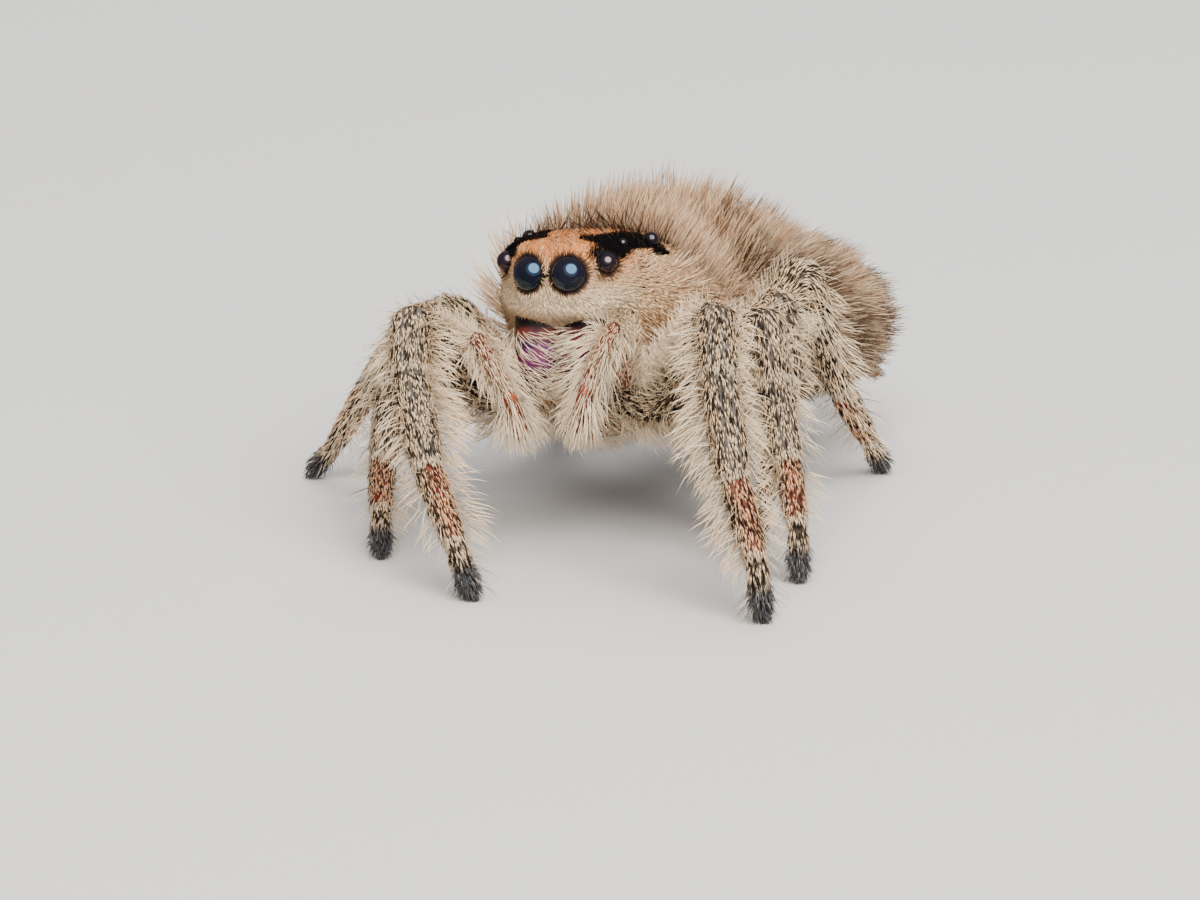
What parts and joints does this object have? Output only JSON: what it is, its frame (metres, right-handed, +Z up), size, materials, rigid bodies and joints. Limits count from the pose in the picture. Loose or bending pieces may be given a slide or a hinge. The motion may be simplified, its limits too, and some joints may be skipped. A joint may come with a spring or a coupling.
{
  "type": "jumping spider model",
  "caption": "Life-size still model of a long-haired jumping spider standing on its feet with its head turned, for display.",
  "frame": {"origin": "middle of the footprint, on the floor", "axes": "+Z up, -Y the way the body faces, +X to the animal's own left"},
  "size_m": [0.0168, 0.0214, 0.0087],
  "materials": {
    "face": "short flat tan hair over a firm shell",
    "fleece": "long soft cream and tan hair",
    "salted": "short pale scales with dark gaps and a long fringe",
    "rosy": "rust-pink hair with a pale fringe",
    "foot_tuft": "dark grey brush of fine hair",
    "lens": "glossy black dome",
    "iridescent": "satin with a purple sheen"
  },
  "bodies": {
    "root": {"abdomen": "fleece", "carapace": "face", "chelicera_left": "iridescent", "chelicera_right": "iridescent", "eye_main_left": "lens", "eye_main_right": "lens", "eye_rear_left": "lens", "eye_rear_right": "lens", "eye_side_left": "lens", "eye_side_right": "lens", "eye_small_left": "lens", "eye_small_right": "lens", "leg_left_1_femur": "fleece", "leg_left_1_metatarsus": "rosy", "leg_left_1_patella": "salted", "leg_left_1_tarsus": "foot_tuft", "leg_left_1_tibia": "salted", "leg_left_2_femur": "fleece", "leg_left_2_metatarsus": "rosy", "leg_left_2_patella": "salted", "leg_left_2_tarsus": "foot_tuft", "leg_left_2_tibia": "salted", "leg_left_3_femur": "fleece", "leg_left_3_metatarsus": "rosy", "leg_left_3_patella": "salted", "leg_left_3_tarsus": "foot_tuft", "leg_left_3_tibia": "salted", "leg_left_4_femur": "fleece", "leg_left_4_metatarsus": "rosy", "leg_left_4_patella": "salted", "leg_left_4_tarsus": "foot_tuft", "leg_left_4_tibia": "salted", "leg_right_1_femur": "fleece", "leg_right_1_metatarsus": "rosy", "leg_right_1_patella": "salted", "leg_right_1_tarsus": "foot_tuft", "leg_right_1_tibia": "salted", "leg_right_2_femur": "fleece", "leg_right_2_metatarsus": "rosy", "leg_right_2_patella": "salted", "leg_right_2_tarsus": "foot_tuft", "leg_right_2_tibia": "salted", "leg_right_3_femur": "fleece", "leg_right_3_metatarsus": "rosy", "leg_right_3_patella": "salted", "leg_right_3_tarsus": "foot_tuft", "leg_right_3_tibia": "salted", "leg_right_4_femur": "fleece", "leg_right_4_metatarsus": "rosy", "leg_right_4_patella": "salted", "leg_right_4_tarsus": "foot_tuft", "leg_right_4_tibia": "salted", "palp_left_femur": "fleece", "palp_left_tarsus": "fleece", "palp_left_tibia": "fleece", "palp_right_femur": "fleece", "palp_right_tarsus": "fleece", "palp_right_tibia": "fleece", "spinnerets": "salted", "sternum": "salted"}
  },
  "joints": []
}
